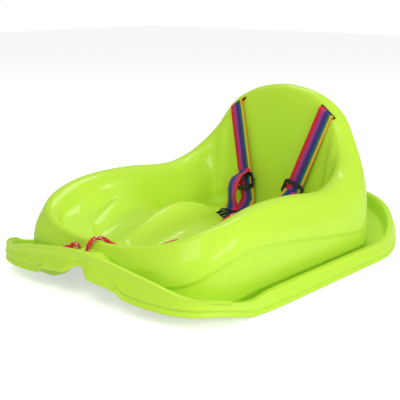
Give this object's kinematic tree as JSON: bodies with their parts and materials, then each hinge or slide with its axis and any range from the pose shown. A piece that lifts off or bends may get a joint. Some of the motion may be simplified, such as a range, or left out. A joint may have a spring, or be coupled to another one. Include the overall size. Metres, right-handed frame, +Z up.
{
  "type": "plastic toddler sled",
  "caption": "Moulded plastic toddler sled with a tub seat and high backrest on a wide tray, shoulder straps with a side-release buckle, and a tow rope.",
  "frame": {"origin": "centre of the overall box, on the ground that the soles stand on", "axes": "+X to the rider's left, -Y towards the front where the tow rope leaves, +Z up"},
  "size_m": [0.45, 0.6694, 0.265],
  "materials": {
    "lime_plastic": "glossy moulded polyethylene, apple green",
    "rainbow_webbing": "woven webbing with lengthwise stripes from red through violet and blue to yellow",
    "black_plastic": "smooth black acetal",
    "red_rope": "braided polypropylene rope, red with white and black flecks"
  },
  "bodies": {
    "sled": {"sled_shell": "lime_plastic", "harness_web": "rainbow_webbing", "tow_rope": "red_rope", "tow_rope_coil": "red_rope", "stopper_knot": "red_rope", "end_knot": "red_rope"},
    "left_strap": {"strap_left": "rainbow_webbing"},
    "right_strap": {"strap_right": "rainbow_webbing"},
    "left_adjuster": {"adjuster_left": "black_plastic"},
    "right_adjuster": {"adjuster_right": "black_plastic"},
    "left_loop": {"loop_left": "rainbow_webbing"},
    "right_loop": {"loop_right": "rainbow_webbing"},
    "socket": {"buckle_socket": "black_plastic"},
    "plug": {"buckle_plug": "black_plastic"}
  },
  "joints": [
    {"name": "left_strap_swing", "type": "hinge", "parent": "sled", "child": "left_strap", "pos_m": [0.095, 0.13976, 0.22641], "axis": [-0.8413, 0, 0.5405], "range_deg": [0, 75]},
    {"name": "right_strap_swing", "type": "hinge", "parent": "sled", "child": "right_strap", "pos_m": [-0.095, 0.13976, 0.22641], "axis": [-0.8413, 0, -0.5405], "range_deg": [0, 75]},
    {"name": "left_adjuster_slide", "type": "slide", "parent": "left_strap", "child": "left_adjuster", "axis": [0.3053, 0.1779, 0.9355], "range_m": [0, 0.045]},
    {"name": "right_adjuster_slide", "type": "slide", "parent": "right_strap", "child": "right_adjuster", "axis": [-0.3053, 0.178, 0.9355], "range_m": [0, 0.045]},
    {"name": "left_loop_lift", "type": "hinge", "parent": "left_strap", "child": "left_loop", "pos_m": [0.042, 0.10887, 0.064], "axis": [-1, 0, 0], "range_deg": [0, 55]},
    {"name": "right_loop_lift", "type": "hinge", "parent": "right_strap", "child": "right_loop", "pos_m": [-0.042, 0.10885, 0.064], "axis": [-1, 0, 0], "range_deg": [0, 55]},
    {"name": "socket_tilt", "type": "hinge", "parent": "left_loop", "child": "socket", "pos_m": [0.042, 0.06087, 0.0508], "axis": [-1, 0, 0], "range_deg": [0, 70]},
    {"name": "plug_tilt", "type": "hinge", "parent": "right_loop", "child": "plug", "pos_m": [-0.042, 0.06085, 0.0493], "axis": [-1, 0, 0], "range_deg": [0, 70]}
  ]
}
